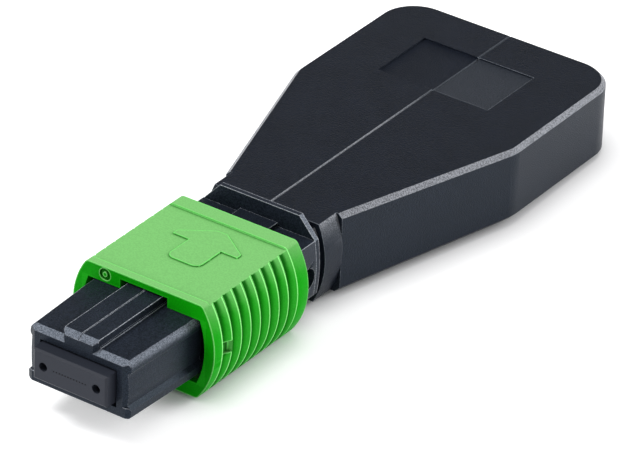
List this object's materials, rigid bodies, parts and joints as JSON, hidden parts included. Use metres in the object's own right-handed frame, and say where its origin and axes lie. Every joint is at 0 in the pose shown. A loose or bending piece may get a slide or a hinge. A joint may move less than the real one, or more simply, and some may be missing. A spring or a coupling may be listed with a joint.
{
  "type": "mpo fibre connector",
  "caption": "Push-pull multi-fibre loop-back plug: sprung ferrule in a keyed housing, ribbed pull sleeve and a flat two-half housing that turns each fibre back to its mirror.",
  "frame": {"origin": "centre of the ferrule's end face", "axes": "-Y is the way the plug mates, +Y runs to the loop-back housing, +X is the plug's right seen from behind with the key up, +Z is the key side"},
  "size_m": [0.0198, 0.0552, 0.008],
  "materials": {
    "sleeve_green": "satin moulded",
    "housing_black": "finely spark-eroded moulded",
    "plug_black": "smooth moulded",
    "ferrule_black": "lapped face",
    "boot_rubber": "soft",
    "spring_steel": "drawn wire",
    "keeper_steel": "stamped",
    "epoxy": "cured drop",
    "fibre_coating": "smooth coating"
  },
  "bodies": {
    "housing": {"inner_housing": "plug_black", "spring_push": "plug_black", "body_shell_left": "housing_black", "body_shell_right": "housing_black", "ferrule_spring": "spring_steel", "sleeve_spring_left": "spring_steel", "sleeve_spring_right": "spring_steel"},
    "ferrule_set": {"ferrule": "ferrule_black", "ferrule_epoxy": "epoxy", "ferrule_boot": "boot_rubber", "pin_keeper": "keeper_steel", "fibre_loop_1": "fibre_coating", "fibre_loop_2": "fibre_coating", "fibre_loop_3": "fibre_coating", "fibre_loop_4": "fibre_coating", "fibre_loop_5": "fibre_coating", "fibre_loop_6": "fibre_coating"},
    "sleeve": {"pull_sleeve": "sleeve_green"}
  },
  "joints": [
    {"name": "sleeve_pull", "type": "slide", "parent": "housing", "child": "sleeve", "axis": [0, 1, 0], "range_m": [0, 0.002], "stiffness_N_per_m": 1500, "springref_m": -0.001, "deforming": ["sleeve_spring_left", "sleeve_spring_right"]},
    {"name": "ferrule_float", "type": "slide", "parent": "housing", "child": "ferrule_set", "axis": [0, 1, 0], "range_m": [0, 0.0008], "stiffness_N_per_m": 4000, "springref_m": -0.0022, "deforming": ["ferrule_spring"]}
  ]
}
